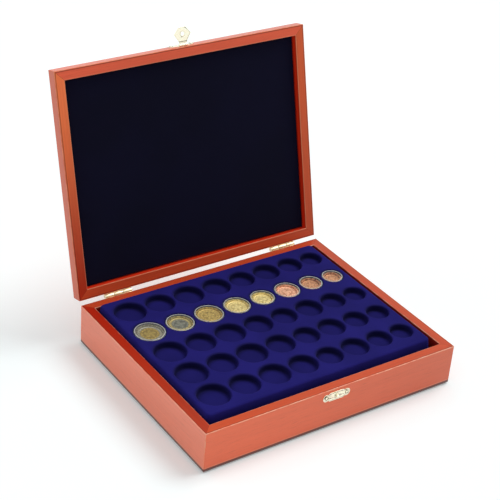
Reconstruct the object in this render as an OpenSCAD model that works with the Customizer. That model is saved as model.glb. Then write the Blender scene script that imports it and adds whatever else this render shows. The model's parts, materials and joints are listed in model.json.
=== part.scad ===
// Coin case: a mitred wooden base and a hinged lid with a padded lining, three stacked
// lift-out trays of round recesses, brass stop hinges, a brass hasp with its keeper, and
// one row of coins in clear two-part capsules.
// Millimetres. The origin is the centre of the underside, the front faces -Y and +Z is up.
// The lid is drawn standing open, turned back about the hinge axis.

/* [Case] */
// Overall width, along the front
case_w = 305; // [290:1:360]
// Overall depth, front to back
case_d = 245; // [225:1:300]
// Height of the base, from the underside to its rim
base_h = 47; // [39:0.5:70]
// Height of the lid, from its rim to its top
lid_h = 14.7; // [13.5:0.1:25]
// Thickness of the rails of base and lid
wall = 11; // [9:0.5:14]
// Rounding of the long edges under the base and on top of the lid
edge_r = 3.2; // [1:0.1:3.5]
// Rounding of the four upright corners
corner_r = 1.2; // [0.5:0.1:3]
// Rounding of the arrises along the rims
arris_r = 0.6; // [0.2:0.1:1.5]
// Gap between the two rims when the lid is shut
rim_gap = 0.3; // [0.1:0.1:1]
// Angle from shut to fully open, where the hinges stop
lid_open_angle = 104; // [92:1:110]

/* [Panels] */
// Thickness of the bottom panel
bottom_t = 4.5; // [3:0.5:8]
// Thickness of the lid's top panel
top_t = 5; // [3:0.5:7]
// How far a panel reaches into its rails
rebate = 5; // [3:0.5:7]
// Clearance round a panel in its rebate
panel_gap = 0.1; // [0.05:0.05:0.3]

/* [Lining] */
// Thickness of the padded lining in the lid
lining_t = 4; // [2:0.5:5]
// Clearance between the lining and the rails
lining_gap = 0.4; // [0.2:0.1:1]
// Bevel round the face of the lining
lining_bevel = 1; // [0.5:0.1:1.5]

/* [Trays] */
// Number of stacked trays
tray_count = 3;
// Clearance between the foot of a tray and the rails, on each side
tray_gap = 3; // [0.8:0.1:3.5]
// Share of that clearance by which the trays stand towards the left
tray_leftward = 0.75; // [-0.8:0.05:0.8]
// Share of that clearance by which the trays stand towards the back
tray_rearward = 0.75; // [-0.8:0.05:0.8]
// How far each side of a tray draws in from foot to top
tray_draw = 2.2; // [1:0.1:4]
// Corner radius of a tray at its foot
tray_corner_r = 7; // [6:0.5:14]
// Radius of the soft edge round the top of a tray
tray_edge_r = 2.4; // [0.5:0.1:2.4]
// Room that the pile leaves between one tray and the next
tray_seat = 0.1; // [0.05:0.05:0.5]
// Room between the top tray and the lining when the lid is shut
tray_headroom = 1.5; // [0.5:0.1:3]
// Depth of a recess
recess_depth = 6.4; // [5.6:0.1:8]
// Clearance round a capsule in its recess
recess_clear = 0.3; // [0.2:0.1:1.1]
// Softened edge round the mouth of a recess
recess_edge = 0.8; // [0.3:0.1:1]
// Number of rows of recesses
row_count = 5;
// Row that holds the coins, counted from the back
coin_row = 2; // [1:1:5]

/* [Coins] */
// Diameter of each coin, left to right
coin_d = [25.75, 23.25, 24.25, 22.25, 19.75, 21.25, 18.75, 16.25]; // [14:0.05:27]
// Thickness of each coin, left to right
coin_t = [2.2, 2.33, 2.38, 2.14, 1.93, 1.67, 1.67, 1.67]; // [1.4:0.01:2.6]
// Width of the raised rim of a coin
coin_rim_w = 1.1; // [0.6:0.1:2]
// Height of the raised rim of a coin on each face
coin_rim_h = 0.2; // [0.1:0.05:0.3]
// Width of the outer ring of a two-metal coin
coin_ring_w = 2.8; // [2.5:0.1:5]
// Clearance between the core and the ring of a two-metal coin
core_gap = 0.02; // [0.01:0.01:0.05]

/* [Capsules] */
// How far a capsule reaches beyond its coin all round
capsule_rim = 3.7; // [2.6:0.1:4]
// Height of a closed capsule
capsule_h = 6; // [5.4:0.1:6.4]
// Thickness of the clear discs of a capsule
capsule_t = 1.3; // [0.8:0.1:1.4]
// Thickness of the skirt of a capsule's lid
capsule_skirt = 1.2; // [0.8:0.1:1.4]
// Clearance of the coin and of the snap fit in a capsule
capsule_gap = 0.1; // [0.05:0.05:0.2]

/* [Hinges] */
// Length of a hinge
hinge_w = 32; // [28:1:60]
// Distance from the end of the case to the end of a hinge
hinge_inset = 30; // [15:1:50]
// Distance of the hinge axis behind the rear faces
hinge_back = 2.7; // [2.5:0.1:3.5]
// Height of a leaf, from the axis to its far edge
leaf_h = 10.8; // [9.5:0.1:11.5]
// Thickness of a leaf
leaf_t = 1; // [0.6:0.1:1.2]
// Radius of the knuckles
knuckle_r = 2.3; // [1.9:0.1:2.4]
// Radius of the hinge pin
pin_r = 1.1; // [0.8:0.05:1.3]
// Running clearance round a pin
pin_clear = 0.05; // [0.02:0.01:0.1]
// Gap between neighbouring knuckles and leaves
knuckle_gap = 0.25; // [0.15:0.05:0.5]
// Reach of the stop nib, from the hinge axis
stop_reach = 4.4; // [3.6:0.1:4.6]
// Gap between the stop nib and the base leaf at full opening
stop_gap = 0.05; // [0.02:0.01:0.1]
// Distance of the screws from the hinge axis
screw_off = 7.2; // [6.9:0.1:8]
// Distance of the outer screws from the ends of a leaf
screw_end = 5.5; // [3.5:0.1:7]

/* [Screws and nails] */
// Shank radius of a hinge screw
screw_r = 0.9; // [0.6:0.1:1.2]
// Head radius of a hinge screw
screw_head_r = 1.8; // [1.5:0.1:2.2]
// Height of a screw's or nail's domed head
head_h = 0.7; // [0.4:0.1:1]
// Length of a screw or nail under its head
shank_l = 7.5; // [5:0.5:8]
// Shank radius of a hasp or keeper nail
nail_r = 0.7; // [0.5:0.1:1]
// Head radius of a hasp or keeper nail
nail_head_r = 1.5; // [1.2:0.1:1.9]
// Clearance round a shank in the wood and in the brass
shank_gap = 0.05; // [0.03:0.01:0.1]

/* [Hasp and keeper] */
// Height of the hasp's axis above the rim of the shut lid
hasp_up = 3.2; // [2.5:0.1:4.5]
// Distance of the hasp's axis in front of the front faces
hasp_out = 1.65; // [1.5:0.05:2.5]
// Thickness of the hasp plate, the flap and the keeper
sheet_t = 0.9; // [0.6:0.1:1]
// Length of the hasp plate
hasp_plate_w = 30; // [23:0.5:34]
// Height of the hasp plate above its axis
hasp_plate_h = 7; // [6.5:0.5:7.5]
// Radius of the hasp's knuckles
hasp_knuckle_r = 1.35; // [1.1:0.05:1.4]
// Radius of the hasp's pin
hasp_pin_r = 0.6; // [0.4:0.05:0.8]
// Width of the flap's own knuckle
flap_knuckle_w = 3.4; // [2.5:0.1:5]
// Width of the flap's neck
flap_neck_w = 9.7; // [8:0.1:10.5]
// Width of the flap at its corners
flap_w = 20.5; // [15:0.5:21]
// Distance from the hasp's axis to the flap's tip
flap_reach = 18.8; // [16.5:0.1:20]
// Width of the flap's blunt tip
flap_tip_w = 8.4; // [5:0.1:10]
// Distance from the hasp's axis to the middle of the flap's hole
flap_hole_at = 11.6; // [10.5:0.1:12.5]
// Radius of the flap's hole
flap_hole_r = 2.1; // [1.9:0.1:2.5]
// Length of the keeper, end to end
keeper_w = 33; // [32.5:0.5:40]
// Height of the keeper's body
keeper_h = 10; // [9:0.5:12]
// Radius of the keeper's end lobes
keeper_lobe_r = 4.2; // [3.2:0.1:4.4]
// Reach of the keeper's stud in front of its plate
stud_reach = 2.6; // [2:0.1:3]
// Clearance of the stud in the flap's hole
stud_gap = 0.5; // [0.4:0.1:0.6]

/* [Hidden] */
$fn = 48;
over = 1;
// How far the circle of a tray's soft edge stands past the faces that it joins
hair = 0.06;
column_count = len(coin_d);
inner_w = case_w - 2 * wall;
inner_d = case_d - 2 * wall;
lid_z = base_h + rim_gap;
case_top = lid_z + lid_h;
lining_z = case_top - top_t - lining_t;

stack_top = lining_z - tray_headroom;
tray_h = (stack_top - bottom_t - (tray_count - 1) * tray_seat) / tray_count;
tray_x = -tray_leftward * tray_gap;
tray_y = tray_rearward * tray_gap;
tray_foot_w = inner_w - 2 * tray_gap;
tray_foot_d = inner_d - 2 * tray_gap;
tray_lean = atan(tray_draw / tray_h);
tray_edge_in = tray_edge_r - hair;
tray_edge_run = tray_edge_in / tan(45 + tray_lean / 2);
tray_top_w = tray_foot_w - 2 * tray_draw - 2 * tray_edge_run;
tray_top_d = tray_foot_d - 2 * tray_draw - 2 * tray_edge_run;

capsule_r = [for (d = coin_d) d / 2 + capsule_rim];
recess_r = [for (r = capsule_r) r + recess_clear];
recess_widths = [for (r = recess_r) 2 * r];
column_gap = (tray_top_w - sum_to(recess_widths, column_count)) / (column_count + 1);
row_gap = (tray_top_d - row_count * max(recess_widths)) / (row_count + 1);
row_pitch = row_gap + max(recess_widths);
recess_floor = stack_top - recess_depth;
coin_y = row_y(coin_row);

hinge_y = case_d / 2 + hinge_back;
hinge_z = base_h + rim_gap / 2;
hinge_x = case_w / 2 - hinge_inset - hinge_w / 2;
knuckle_w = hinge_w / 3;
screw_pitch = hinge_w / 2 - screw_end;
hasp_y = -case_d / 2 - hasp_out;
hasp_z = lid_z + hasp_up;
hasp_knuckle_w = flap_neck_w;
hasp_nail_x = hasp_plate_w / 2 - nail_head_r - sheet_t;
hasp_nail_z = hasp_z + hasp_plate_h - nail_head_r - sheet_t;
keeper_z = hasp_z - flap_hole_at;
keeper_nail_x = keeper_w / 2 - keeper_lobe_r;
stud_r = flap_hole_r - stud_gap;

wood = [0.66, 0.22, 0.13];
panel_wood = [0.60, 0.20, 0.12];
velour = [0.11, 0.09, 0.38];
dark_velour = [0.05, 0.05, 0.10];
brass = [0.83, 0.70, 0.38];
steel = [0.70, 0.70, 0.72];
clear_plastic = [0.85, 0.90, 0.92, 0.35];
gold_alloy = [0.78, 0.66, 0.32];
silver_alloy = [0.72, 0.72, 0.70];
copper_alloy = [0.72, 0.40, 0.24];
coin_colours = [silver_alloy, gold_alloy, gold_alloy, gold_alloy,
                gold_alloy, copper_alloy, copper_alloy, copper_alloy];
two_metal_coins = [1, 2];

function sum_to(list, n) = n == 0 ? 0 : list[n - 1] + sum_to(list, n - 1);
function column_x(i) =
    -tray_top_w / 2 + (i + 1) * column_gap + sum_to(recess_widths, i) + recess_r[i];
function row_y(j) = ((row_count + 1) / 2 - j) * row_pitch;

// The corner of a square that a rounding of radius r takes away
module corner_waste(r) {
    difference() {
        translate([-over, -over]) square(r + over);
        translate([r, r]) circle(r);
    }
}

// A profile drawn as inward distance and height, run along the front from end to end
module run_along_front(length) {
    translate([-length / 2, -case_d / 2, 0])
        rotate([90, 0, 90])
            linear_extrude(length) children();
}

// Carries a piece from the shut lid to the open lid
module as_lid() {
    translate([0, hinge_y, hinge_z])
        rotate([-lid_open_angle, 0, 0])
            translate([0, -hinge_y, -hinge_z]) children();
}

// The plan of one mitred rail of the given length, on the front side
module mitre_plan(length) {
    polygon([
        [-length / 2, -case_d / 2],
        [length / 2, -case_d / 2],
        [length / 2 - wall, -case_d / 2 + wall],
        [-length / 2 + wall, -case_d / 2 + wall]
    ]);
}

// Rounds the upright corners at both ends of a front rail
module upright_corner_waste(length, height) {
    for (side = [0, 1])
        mirror([side, 0, 0])
            translate([-length / 2, -case_d / 2, -over])
                linear_extrude(height + 2 * over) corner_waste(corner_r);
}

module mitred_rail(length, height) {
    difference() {
        intersection() {
            run_along_front(length) children();
            translate([0, 0, -over]) linear_extrude(height + 2 * over) mitre_plan(length);
        }
        upright_corner_waste(length, height);
    }
}

// Section of a base rail: rounded underside, rebate for the bottom panel, soft rim
module base_section() {
    difference() {
        square([wall, base_h]);
        corner_waste(edge_r);
        translate([wall - rebate, -over]) square([rebate + over, bottom_t + over]);
        translate([0, base_h]) mirror([0, 1]) corner_waste(arris_r);
        translate([wall, base_h]) mirror([1, 0]) mirror([0, 1]) corner_waste(arris_r);
    }
}

// Section of a lid rail: soft rim below, rebate for the top panel, rounded top
module lid_section() {
    difference() {
        square([wall, lid_h]);
        corner_waste(arris_r);
        translate([wall, 0]) mirror([1, 0]) corner_waste(arris_r);
        translate([wall - rebate, lid_h - top_t]) square([rebate + over, top_t + over]);
        translate([0, lid_h]) mirror([0, 1]) corner_waste(edge_r);
    }
}

// A rail across the front is turned half round for the back, a quarter for the sides
module base_rail(length, turn, across) {
    color(wood)
        rotate([0, 0, turn])
            translate([0, (case_d - across) / 2, 0])
                mitred_rail(length, base_h) base_section();
}

module shut_lid_rail(length, turn, across) {
    rotate([0, 0, turn])
        translate([0, (case_d - across) / 2, lid_z])
            mitred_rail(length, lid_h) lid_section();
}

module base_front_rail() {
    color(wood) difference() {
        base_rail(case_w, 0, case_d);
        keeper_nail_places() shank_hole(nail_r);
    }
}

module base_rear_rail() {
    color(wood) difference() {
        base_rail(case_w, 180, case_d);
        hinge_places() screw_places(-screw_off) shank_hole(screw_r);
    }
}

module base_left_rail() {
    base_rail(case_d, -90, case_w);
}

module base_right_rail() {
    base_rail(case_d, 90, case_w);
}

module lid_front_rail() {
    color(wood) as_lid() difference() {
        shut_lid_rail(case_w, 0, case_d);
        hasp_nail_places() shank_hole(nail_r);
    }
}

module lid_rear_rail() {
    color(wood) as_lid() difference() {
        shut_lid_rail(case_w, 180, case_d);
        hinge_places() screw_places(screw_off) shank_hole(screw_r);
    }
}

module lid_left_rail() {
    color(wood) as_lid() shut_lid_rail(case_d, -90, case_w);
}

module lid_right_rail() {
    color(wood) as_lid() shut_lid_rail(case_d, 90, case_w);
}

// A panel that fills the opening and reaches into the rebates
module rebated_panel(thickness) {
    reach = 2 * rebate - 2 * panel_gap;
    translate([-(inner_w + reach) / 2, -(inner_d + reach) / 2, 0])
        cube([inner_w + reach, inner_d + reach, thickness]);
}

module base_bottom_panel() {
    color(panel_wood) rebated_panel(bottom_t);
}

module lid_top_panel() {
    color(panel_wood) as_lid() translate([0, 0, case_top - top_t]) rebated_panel(top_t);
}

module lid_lining() {
    color(dark_velour) as_lid()
        translate([0, 0, case_top - top_t])
            mirror([0, 0, 1])
                drawn_block(inner_w - 2 * lining_gap, inner_d - 2 * lining_gap, lining_t,
                            lining_bevel * 2) lining_side();
}

// Half section of the lining beyond its corner centre, with a bevelled face
module lining_side() {
    r = lining_bevel * 2;
    polygon([
        [0, 0],
        [r, 0],
        [r, lining_t - lining_bevel],
        [r - lining_bevel, lining_t],
        [0, lining_t]
    ]);
}

// The corner that the soft top edge of a tray takes off its half section
module tray_edge_waste(top) {
    reach = tray_edge_r + over;
    translate([top - tray_edge_run, tray_h - tray_edge_in])
        difference() {
            polygon([
                [0, 0],
                [reach * cos(tray_lean), reach * sin(tray_lean)],
                [reach, reach],
                [0, reach]
            ]);
            circle(tray_edge_r);
        }
}

// Half section of a tray beyond its corner centre, with drawn-in sides and a soft top edge
module tray_side() {
    top = tray_corner_r - tray_draw;
    difference() {
        polygon([
            [0, 0],
            [tray_corner_r, 0],
            [top, tray_h],
            [0, tray_h]
        ]);
        tray_edge_waste(top);
    }
}

// A block with round corners whose sides follow a half section
module drawn_block(width, depth, height, r) {
    x = width / 2 - r;
    y = depth / 2 - r;
    translate([-x, -y, 0]) cube([2 * x, 2 * y, height]);
    for (side = [0, 180])
        rotate([0, 0, side]) {
            translate([x, y, 0]) rotate([90, 0, 0]) linear_extrude(2 * y) children();
            translate([-x, y, 0]) rotate([90, 0, 90]) linear_extrude(2 * x) children();
            translate([x, y, 0]) rotate_extrude(angle = 90) children();
            translate([-x, y, 0]) rotate([0, 0, 90]) rotate_extrude(angle = 90) children();
        }
}

// The space that one recess takes out of a tray, with its floor at z = 0
module recess_space(r) {
    rotate_extrude()
        polygon([
            [0, 0],
            [r, 0],
            [r, recess_depth - recess_edge],
            [r + recess_edge, recess_depth],
            [r + recess_edge, recess_depth + over],
            [0, recess_depth + over]
        ]);
}

// One tray, counted upwards from 0
module tray(level) {
    foot = bottom_t + level * (tray_h + tray_seat);
    color(velour) translate([tray_x, tray_y, foot]) difference() {
        drawn_block(tray_foot_w, tray_foot_d, tray_h, tray_corner_r) tray_side();
        for (i = [0 : column_count - 1], j = [1 : row_count])
            translate([column_x(i), row_y(j), tray_h - recess_depth]) recess_space(recess_r[i]);
    }
}

// A coin counted from 1 at the left, standing at its place in the coin row
module at_coin(i) {
    translate([tray_x + column_x(i - 1), tray_y + coin_y, recess_floor]) children();
}

// Half section of a struck coin from the radius inner outwards, rimmed on both faces
module coin_half_section(inner, outer, thickness) {
    polygon([
        [inner, coin_rim_h],
        [outer - coin_rim_w, coin_rim_h],
        [outer - coin_rim_w, 0],
        [outer, 0],
        [outer, thickness],
        [outer - coin_rim_w, thickness],
        [outer - coin_rim_w, thickness - coin_rim_h],
        [inner, thickness - coin_rim_h]
    ]);
}

module coin(i) {
    two_metal = len(search(i, two_metal_coins)) > 0;
    r = coin_d[i - 1] / 2;
    color(coin_colours[i - 1]) at_coin(i)
        translate([0, 0, capsule_t])
            rotate_extrude()
                coin_half_section(two_metal ? r - coin_ring_w : 0, r, coin_t[i - 1]);
}

// The core of a two-metal coin, level with the field of its ring
module coin_core(i) {
    r = coin_d[i - 1] / 2 - coin_ring_w - core_gap;
    color(i == 1 ? gold_alloy : silver_alloy) at_coin(i)
        translate([0, 0, capsule_t + coin_rim_h])
            cylinder(h = coin_t[i - 1] - 2 * coin_rim_h, r = r);
}

// Lower half of a capsule: a clear disc with the ring that centres the coin
module capsule_base(i) {
    r = capsule_r[i - 1];
    ring_r = r - capsule_skirt - capsule_gap;
    seat_r = coin_d[i - 1] / 2 + capsule_gap;
    ring_h = capsule_h - capsule_t - capsule_gap;
    color(clear_plastic) at_coin(i) rotate_extrude()
        polygon([
            [0, 0],
            [r, 0],
            [r, capsule_t],
            [ring_r, capsule_t],
            [ring_r, ring_h],
            [seat_r, ring_h],
            [seat_r, capsule_t],
            [0, capsule_t]
        ]);
}

// Upper half of a capsule: a clear disc with the skirt that snaps over the ring
module capsule_lid(i) {
    r = capsule_r[i - 1];
    color(clear_plastic) at_coin(i) rotate_extrude()
        polygon([
            [0, capsule_h - capsule_t],
            [r - capsule_skirt, capsule_h - capsule_t],
            [r - capsule_skirt, capsule_t],
            [r, capsule_t],
            [r, capsule_h],
            [0, capsule_h]
        ]);
}

// Both hinges, each drawn about its middle
module hinge_places() {
    for (side = [-1, 1]) translate([side * hinge_x, 0, 0]) children();
}

// The screws of one leaf at a height from the hinge axis, heads towards the back
module screw_places(off) {
    for (k = [-1, 0, 1])
        translate([k * screw_pitch, case_d / 2 + leaf_t, hinge_z + off])
            rotate([90, 0, 0]) children();
}

// The nails of the hasp plate and of the keeper, heads towards the front
module hasp_nail_places() {
    for (side = [-1, 1])
        translate([side * hasp_nail_x, -case_d / 2 - sheet_t, hasp_nail_z])
            rotate([-90, 0, 0]) children();
}

module keeper_nail_places() {
    for (side = [-1, 1])
        translate([side * keeper_nail_x, -case_d / 2 - sheet_t, keeper_z])
            rotate([-90, 0, 0]) children();
}

// The hole for a shank, from over the sheet to the shank's end
module shank_hole(r) {
    translate([0, 0, -over]) cylinder(h = shank_l + over, r = r + shank_gap);
}

// A fastener with a domed head below z = 0 and its shank along +Z
module domed_fastener(shank, head) {
    dome_r = (head * head + head_h * head_h) / (2 * head_h);
    cylinder(h = shank_l - shank_gap, r = shank);
    intersection() {
        translate([0, 0, dome_r - head_h]) sphere(dome_r);
        translate([0, 0, -head_h]) cylinder(h = head_h, r = head);
    }
}

// One length of hinge barrel about the hinge axis
module knuckle(from, to, r) {
    translate([from, hinge_y, hinge_z]) rotate([0, 90, 0]) cylinder(h = to - from, r = r);
}

module leaf_plate(low, high) {
    translate([-hinge_w / 2, case_d / 2, low]) cube([hinge_w, leaf_t, high - low]);
}

// Leaf on the base's rear face, with the two outer knuckles
module base_leaf() {
    inner_edge = knuckle_w / 2 + knuckle_gap;
    difference() {
        union() {
            leaf_plate(hinge_z - leaf_h, hinge_z - knuckle_gap);
            knuckle(-hinge_w / 2, -inner_edge, knuckle_r);
            knuckle(inner_edge, hinge_w / 2, knuckle_r);
        }
        knuckle(-inner_edge, inner_edge, knuckle_r + knuckle_gap);
        knuckle(-hinge_w, hinge_w, pin_r + pin_clear);
        screw_places(-screw_off) shank_hole(screw_r);
    }
}

// Leaf on the lid's rear face, with the middle knuckle, drawn on the shut lid
module shut_lid_leaf() {
    difference() {
        union() {
            leaf_plate(hinge_z + knuckle_gap, hinge_z + leaf_h);
            knuckle(-knuckle_w / 2, knuckle_w / 2, knuckle_r);
        }
        for (side = [-1, 1])
            translate([side * knuckle_w, 0, 0])
                knuckle(-knuckle_w / 2 - knuckle_gap, knuckle_w / 2 + knuckle_gap,
                        knuckle_r + knuckle_gap);
        screw_places(screw_off) shank_hole(screw_r);
    }
}

// The nib on the middle knuckle that meets the base leaf when the lid is fully open
module stop_nib() {
    front = case_d / 2 + leaf_t + stop_gap;
    translate([-knuckle_w / 2, front, hinge_z - stop_reach])
        cube([knuckle_w, hinge_y - front, stop_reach]);
}

module lid_leaf() {
    difference() {
        union() {
            as_lid() shut_lid_leaf();
            stop_nib();
        }
        knuckle(-hinge_w, hinge_w, pin_r + pin_clear);
    }
}

module hinge_pin() {
    color(steel) knuckle(-hinge_w / 2, hinge_w / 2, pin_r);
}

module base_hinge_screws() {
    color(brass) hinge_places() screw_places(-screw_off) domed_fastener(screw_r, screw_head_r);
}

module lid_hinge_screws() {
    color(brass) as_lid()
        hinge_places() screw_places(screw_off) domed_fastener(screw_r, screw_head_r);
}

// One length of the hasp's barrel about the hasp's axis
module hasp_barrel(from, to, r) {
    translate([from, hasp_y, hasp_z]) rotate([0, 90, 0]) cylinder(h = to - from, r = r);
}

// Plate on the lid's front, with clipped upper corners and the two outer knuckles
module hasp_plate() {
    clip = hasp_plate_h / 3;
    half = hasp_plate_w / 2;
    middle = flap_knuckle_w / 2 + knuckle_gap;
    color(brass) as_lid() difference() {
        union() {
            translate([0, -case_d / 2, hasp_z])
                rotate([90, 0, 0])
                    linear_extrude(sheet_t)
                        polygon([
                            [-hasp_knuckle_w / 2, 0],
                            [hasp_knuckle_w / 2, 0],
                            [half - clip, clip / 2],
                            [half, hasp_plate_h / 2],
                            [half - clip / 2, hasp_plate_h],
                            [clip / 2 - half, hasp_plate_h],
                            [-half, hasp_plate_h / 2],
                            [clip - half, clip / 2]
                        ]);
            hasp_barrel(-hasp_knuckle_w / 2, -middle, hasp_knuckle_r);
            hasp_barrel(middle, hasp_knuckle_w / 2, hasp_knuckle_r);
        }
        hasp_barrel(-middle, middle, hasp_knuckle_r + knuckle_gap);
        hasp_barrel(-hasp_plate_w, hasp_plate_w, hasp_pin_r + pin_clear);
        hasp_nail_places() shank_hole(nail_r);
    }
}

// Six-sided flap with its hole, standing square to the lid's front face
module hasp_flap() {
    neck = hasp_knuckle_r + knuckle_gap;
    shoulder = max(flap_hole_at - (flap_w - flap_neck_w) * 3 / 4, neck + sheet_t);
    color(brass) as_lid() difference() {
        union() {
            translate([0, hasp_y, hasp_z - sheet_t / 2])
                linear_extrude(sheet_t) {
                    polygon([
                        [-flap_neck_w / 2, -neck],
                        [-flap_neck_w / 2, -shoulder],
                        [-flap_w / 2, -flap_hole_at],
                        [-flap_tip_w / 2, -flap_reach],
                        [flap_tip_w / 2, -flap_reach],
                        [flap_w / 2, -flap_hole_at],
                        [flap_neck_w / 2, -shoulder],
                        [flap_neck_w / 2, -neck]
                    ]);
                    translate([-flap_knuckle_w / 2, -neck - over])
                        square([flap_knuckle_w, neck + over]);
                }
            hasp_barrel(-flap_knuckle_w / 2, flap_knuckle_w / 2, hasp_knuckle_r);
        }
        hasp_barrel(-hasp_plate_w, hasp_plate_w, hasp_pin_r + pin_clear);
        translate([0, hasp_y - flap_hole_at, hasp_z - over]) cylinder(h = 2 * over, r = flap_hole_r);
    }
}

module hasp_pin() {
    color(steel) as_lid() hasp_barrel(-hasp_knuckle_w / 2, hasp_knuckle_w / 2, hasp_pin_r);
}

module hasp_nails() {
    color(brass) as_lid() hasp_nail_places() domed_fastener(nail_r, nail_head_r);
}

// Outline of the keeper: a long eight-sided body between two round lobes
module keeper_outline() {
    half = keeper_w / 2 - keeper_lobe_r;
    shoulder = half - keeper_lobe_r;
    polygon([
        [-half, -keeper_lobe_r / 2],
        [-shoulder, -keeper_h / 2],
        [shoulder, -keeper_h / 2],
        [half, -keeper_lobe_r / 2],
        [half, keeper_lobe_r / 2],
        [shoulder, keeper_h / 2],
        [-shoulder, keeper_h / 2],
        [-half, keeper_lobe_r / 2]
    ]);
    for (side = [-1, 1]) translate([side * half, 0]) circle(keeper_lobe_r);
}

module keeper_plate() {
    bead = stud_gap / 2;
    color(brass) difference() {
        translate([0, -case_d / 2, keeper_z]) rotate([90, 0, 0]) {
            linear_extrude(sheet_t) keeper_outline();
            rotate_extrude()
                polygon([
                    [0, 0],
                    [stud_r, 0],
                    [stud_r, sheet_t + stud_reach - 3 * bead],
                    [stud_r + bead, sheet_t + stud_reach - 2 * bead],
                    [stud_r, sheet_t + stud_reach],
                    [0, sheet_t + stud_reach]
                ]);
        }
        keeper_nail_places() shank_hole(nail_r);
    }
}

module keeper_nails() {
    color(brass) keeper_nail_places() domed_fastener(nail_r, nail_head_r);
}

base_front_rail();
base_rear_rail();
base_left_rail();
base_right_rail();
base_bottom_panel();
lid_front_rail();
lid_rear_rail();
lid_left_rail();
lid_right_rail();
lid_top_panel();
lid_lining();
color(brass) translate([-hinge_x, 0, 0]) base_leaf();  // left_hinge_base_leaf
color(brass) translate([-hinge_x, 0, 0]) lid_leaf();  // left_hinge_lid_leaf
translate([-hinge_x, 0, 0]) hinge_pin();  // left_hinge_pin
color(brass) translate([hinge_x, 0, 0]) base_leaf();  // right_hinge_base_leaf
color(brass) translate([hinge_x, 0, 0]) lid_leaf();  // right_hinge_lid_leaf
translate([hinge_x, 0, 0]) hinge_pin();  // right_hinge_pin
base_hinge_screws();
lid_hinge_screws();
hasp_plate();
hasp_flap();
hasp_pin();
hasp_nails();
keeper_plate();
keeper_nails();
tray(0);  // bottom_tray
tray(1);  // middle_tray
tray(2);  // top_tray
for (i = [1 : column_count]) coin(i);
for (i = two_metal_coins) coin_core(i);
for (i = [1 : column_count]) capsule_base(i);
for (i = [1 : column_count]) capsule_lid(i);
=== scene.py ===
import json
import math

import bmesh
import bpy
from mathutils import Matrix, Vector


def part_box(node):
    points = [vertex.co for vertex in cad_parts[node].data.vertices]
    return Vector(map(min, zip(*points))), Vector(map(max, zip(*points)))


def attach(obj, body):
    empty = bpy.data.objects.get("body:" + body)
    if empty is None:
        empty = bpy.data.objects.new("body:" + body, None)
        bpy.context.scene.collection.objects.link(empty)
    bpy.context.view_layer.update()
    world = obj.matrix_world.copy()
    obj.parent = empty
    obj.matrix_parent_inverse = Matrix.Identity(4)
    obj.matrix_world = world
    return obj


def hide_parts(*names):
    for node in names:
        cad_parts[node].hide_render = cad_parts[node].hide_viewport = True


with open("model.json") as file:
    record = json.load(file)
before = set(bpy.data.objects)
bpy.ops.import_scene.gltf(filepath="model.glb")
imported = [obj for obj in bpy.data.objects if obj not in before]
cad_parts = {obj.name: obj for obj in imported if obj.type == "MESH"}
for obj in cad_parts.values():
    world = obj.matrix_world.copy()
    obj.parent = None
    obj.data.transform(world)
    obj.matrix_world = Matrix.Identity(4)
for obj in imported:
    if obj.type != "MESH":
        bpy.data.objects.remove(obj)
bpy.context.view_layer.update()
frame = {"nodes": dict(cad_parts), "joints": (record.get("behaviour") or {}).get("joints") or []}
nodes = frame["nodes"]
mm = 0.001
weld = 1e-7  # points of a new shape that lie closer than this are one
cadWeld = 2e-6  # the same for points of a solid
near = 5e-6  # how far a point may be off a plane and still count as in it
cutSnap = 1e-8  # the same for a cut
hair = 0.01  # in millimetres, tells one ring of a profile from the next

lidJoint = next(j for j in frame["joints"] if j["name"] == "lid_hinge")
hingeAxis = Vector(lidJoint["pos_m"])
lidSwing = math.radians(lidJoint["range_deg"][0])  # from shut to the open rest, about +X
asOpen = Matrix.Translation(hingeAxis) @ Matrix.Rotation(lidSwing, 4, "X") @ Matrix.Translation(-hingeAxis)
asShut = asOpen.inverted()
print("frame loaded:", len(nodes), "nodes")


class Wire:  # an output socket; sums and products on it add Math nodes
    def __init__(self, finish, socket):
        self.finish = finish
        self.socket = socket

    def maths(self, operation, first, second):
        return self.finish.add("ShaderNodeMath", {"operation": operation}, {0: first, 1: second})

    def __add__(self, other):
        return self.maths("ADD", self, other)

    def __radd__(self, other):
        return self.maths("ADD", other, self)

    def __sub__(self, other):
        return self.maths("SUBTRACT", self, other)

    def __rsub__(self, other):
        return self.maths("SUBTRACT", other, self)

    def __mul__(self, other):
        return self.maths("MULTIPLY", self, other)

    def __rmul__(self, other):
        return self.maths("MULTIPLY", other, self)

    def __pow__(self, other):
        return self.maths("POWER", self, other)

    def least(self, other):
        return self.maths("MINIMUM", self, other)

    def most(self, other):
        return self.maths("MAXIMUM", self, other)

    def size(self):
        return self.maths("ABSOLUTE", self, 0.0)

    def whole(self):
        return self.maths("ROUND", self, 0.0)


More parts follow.
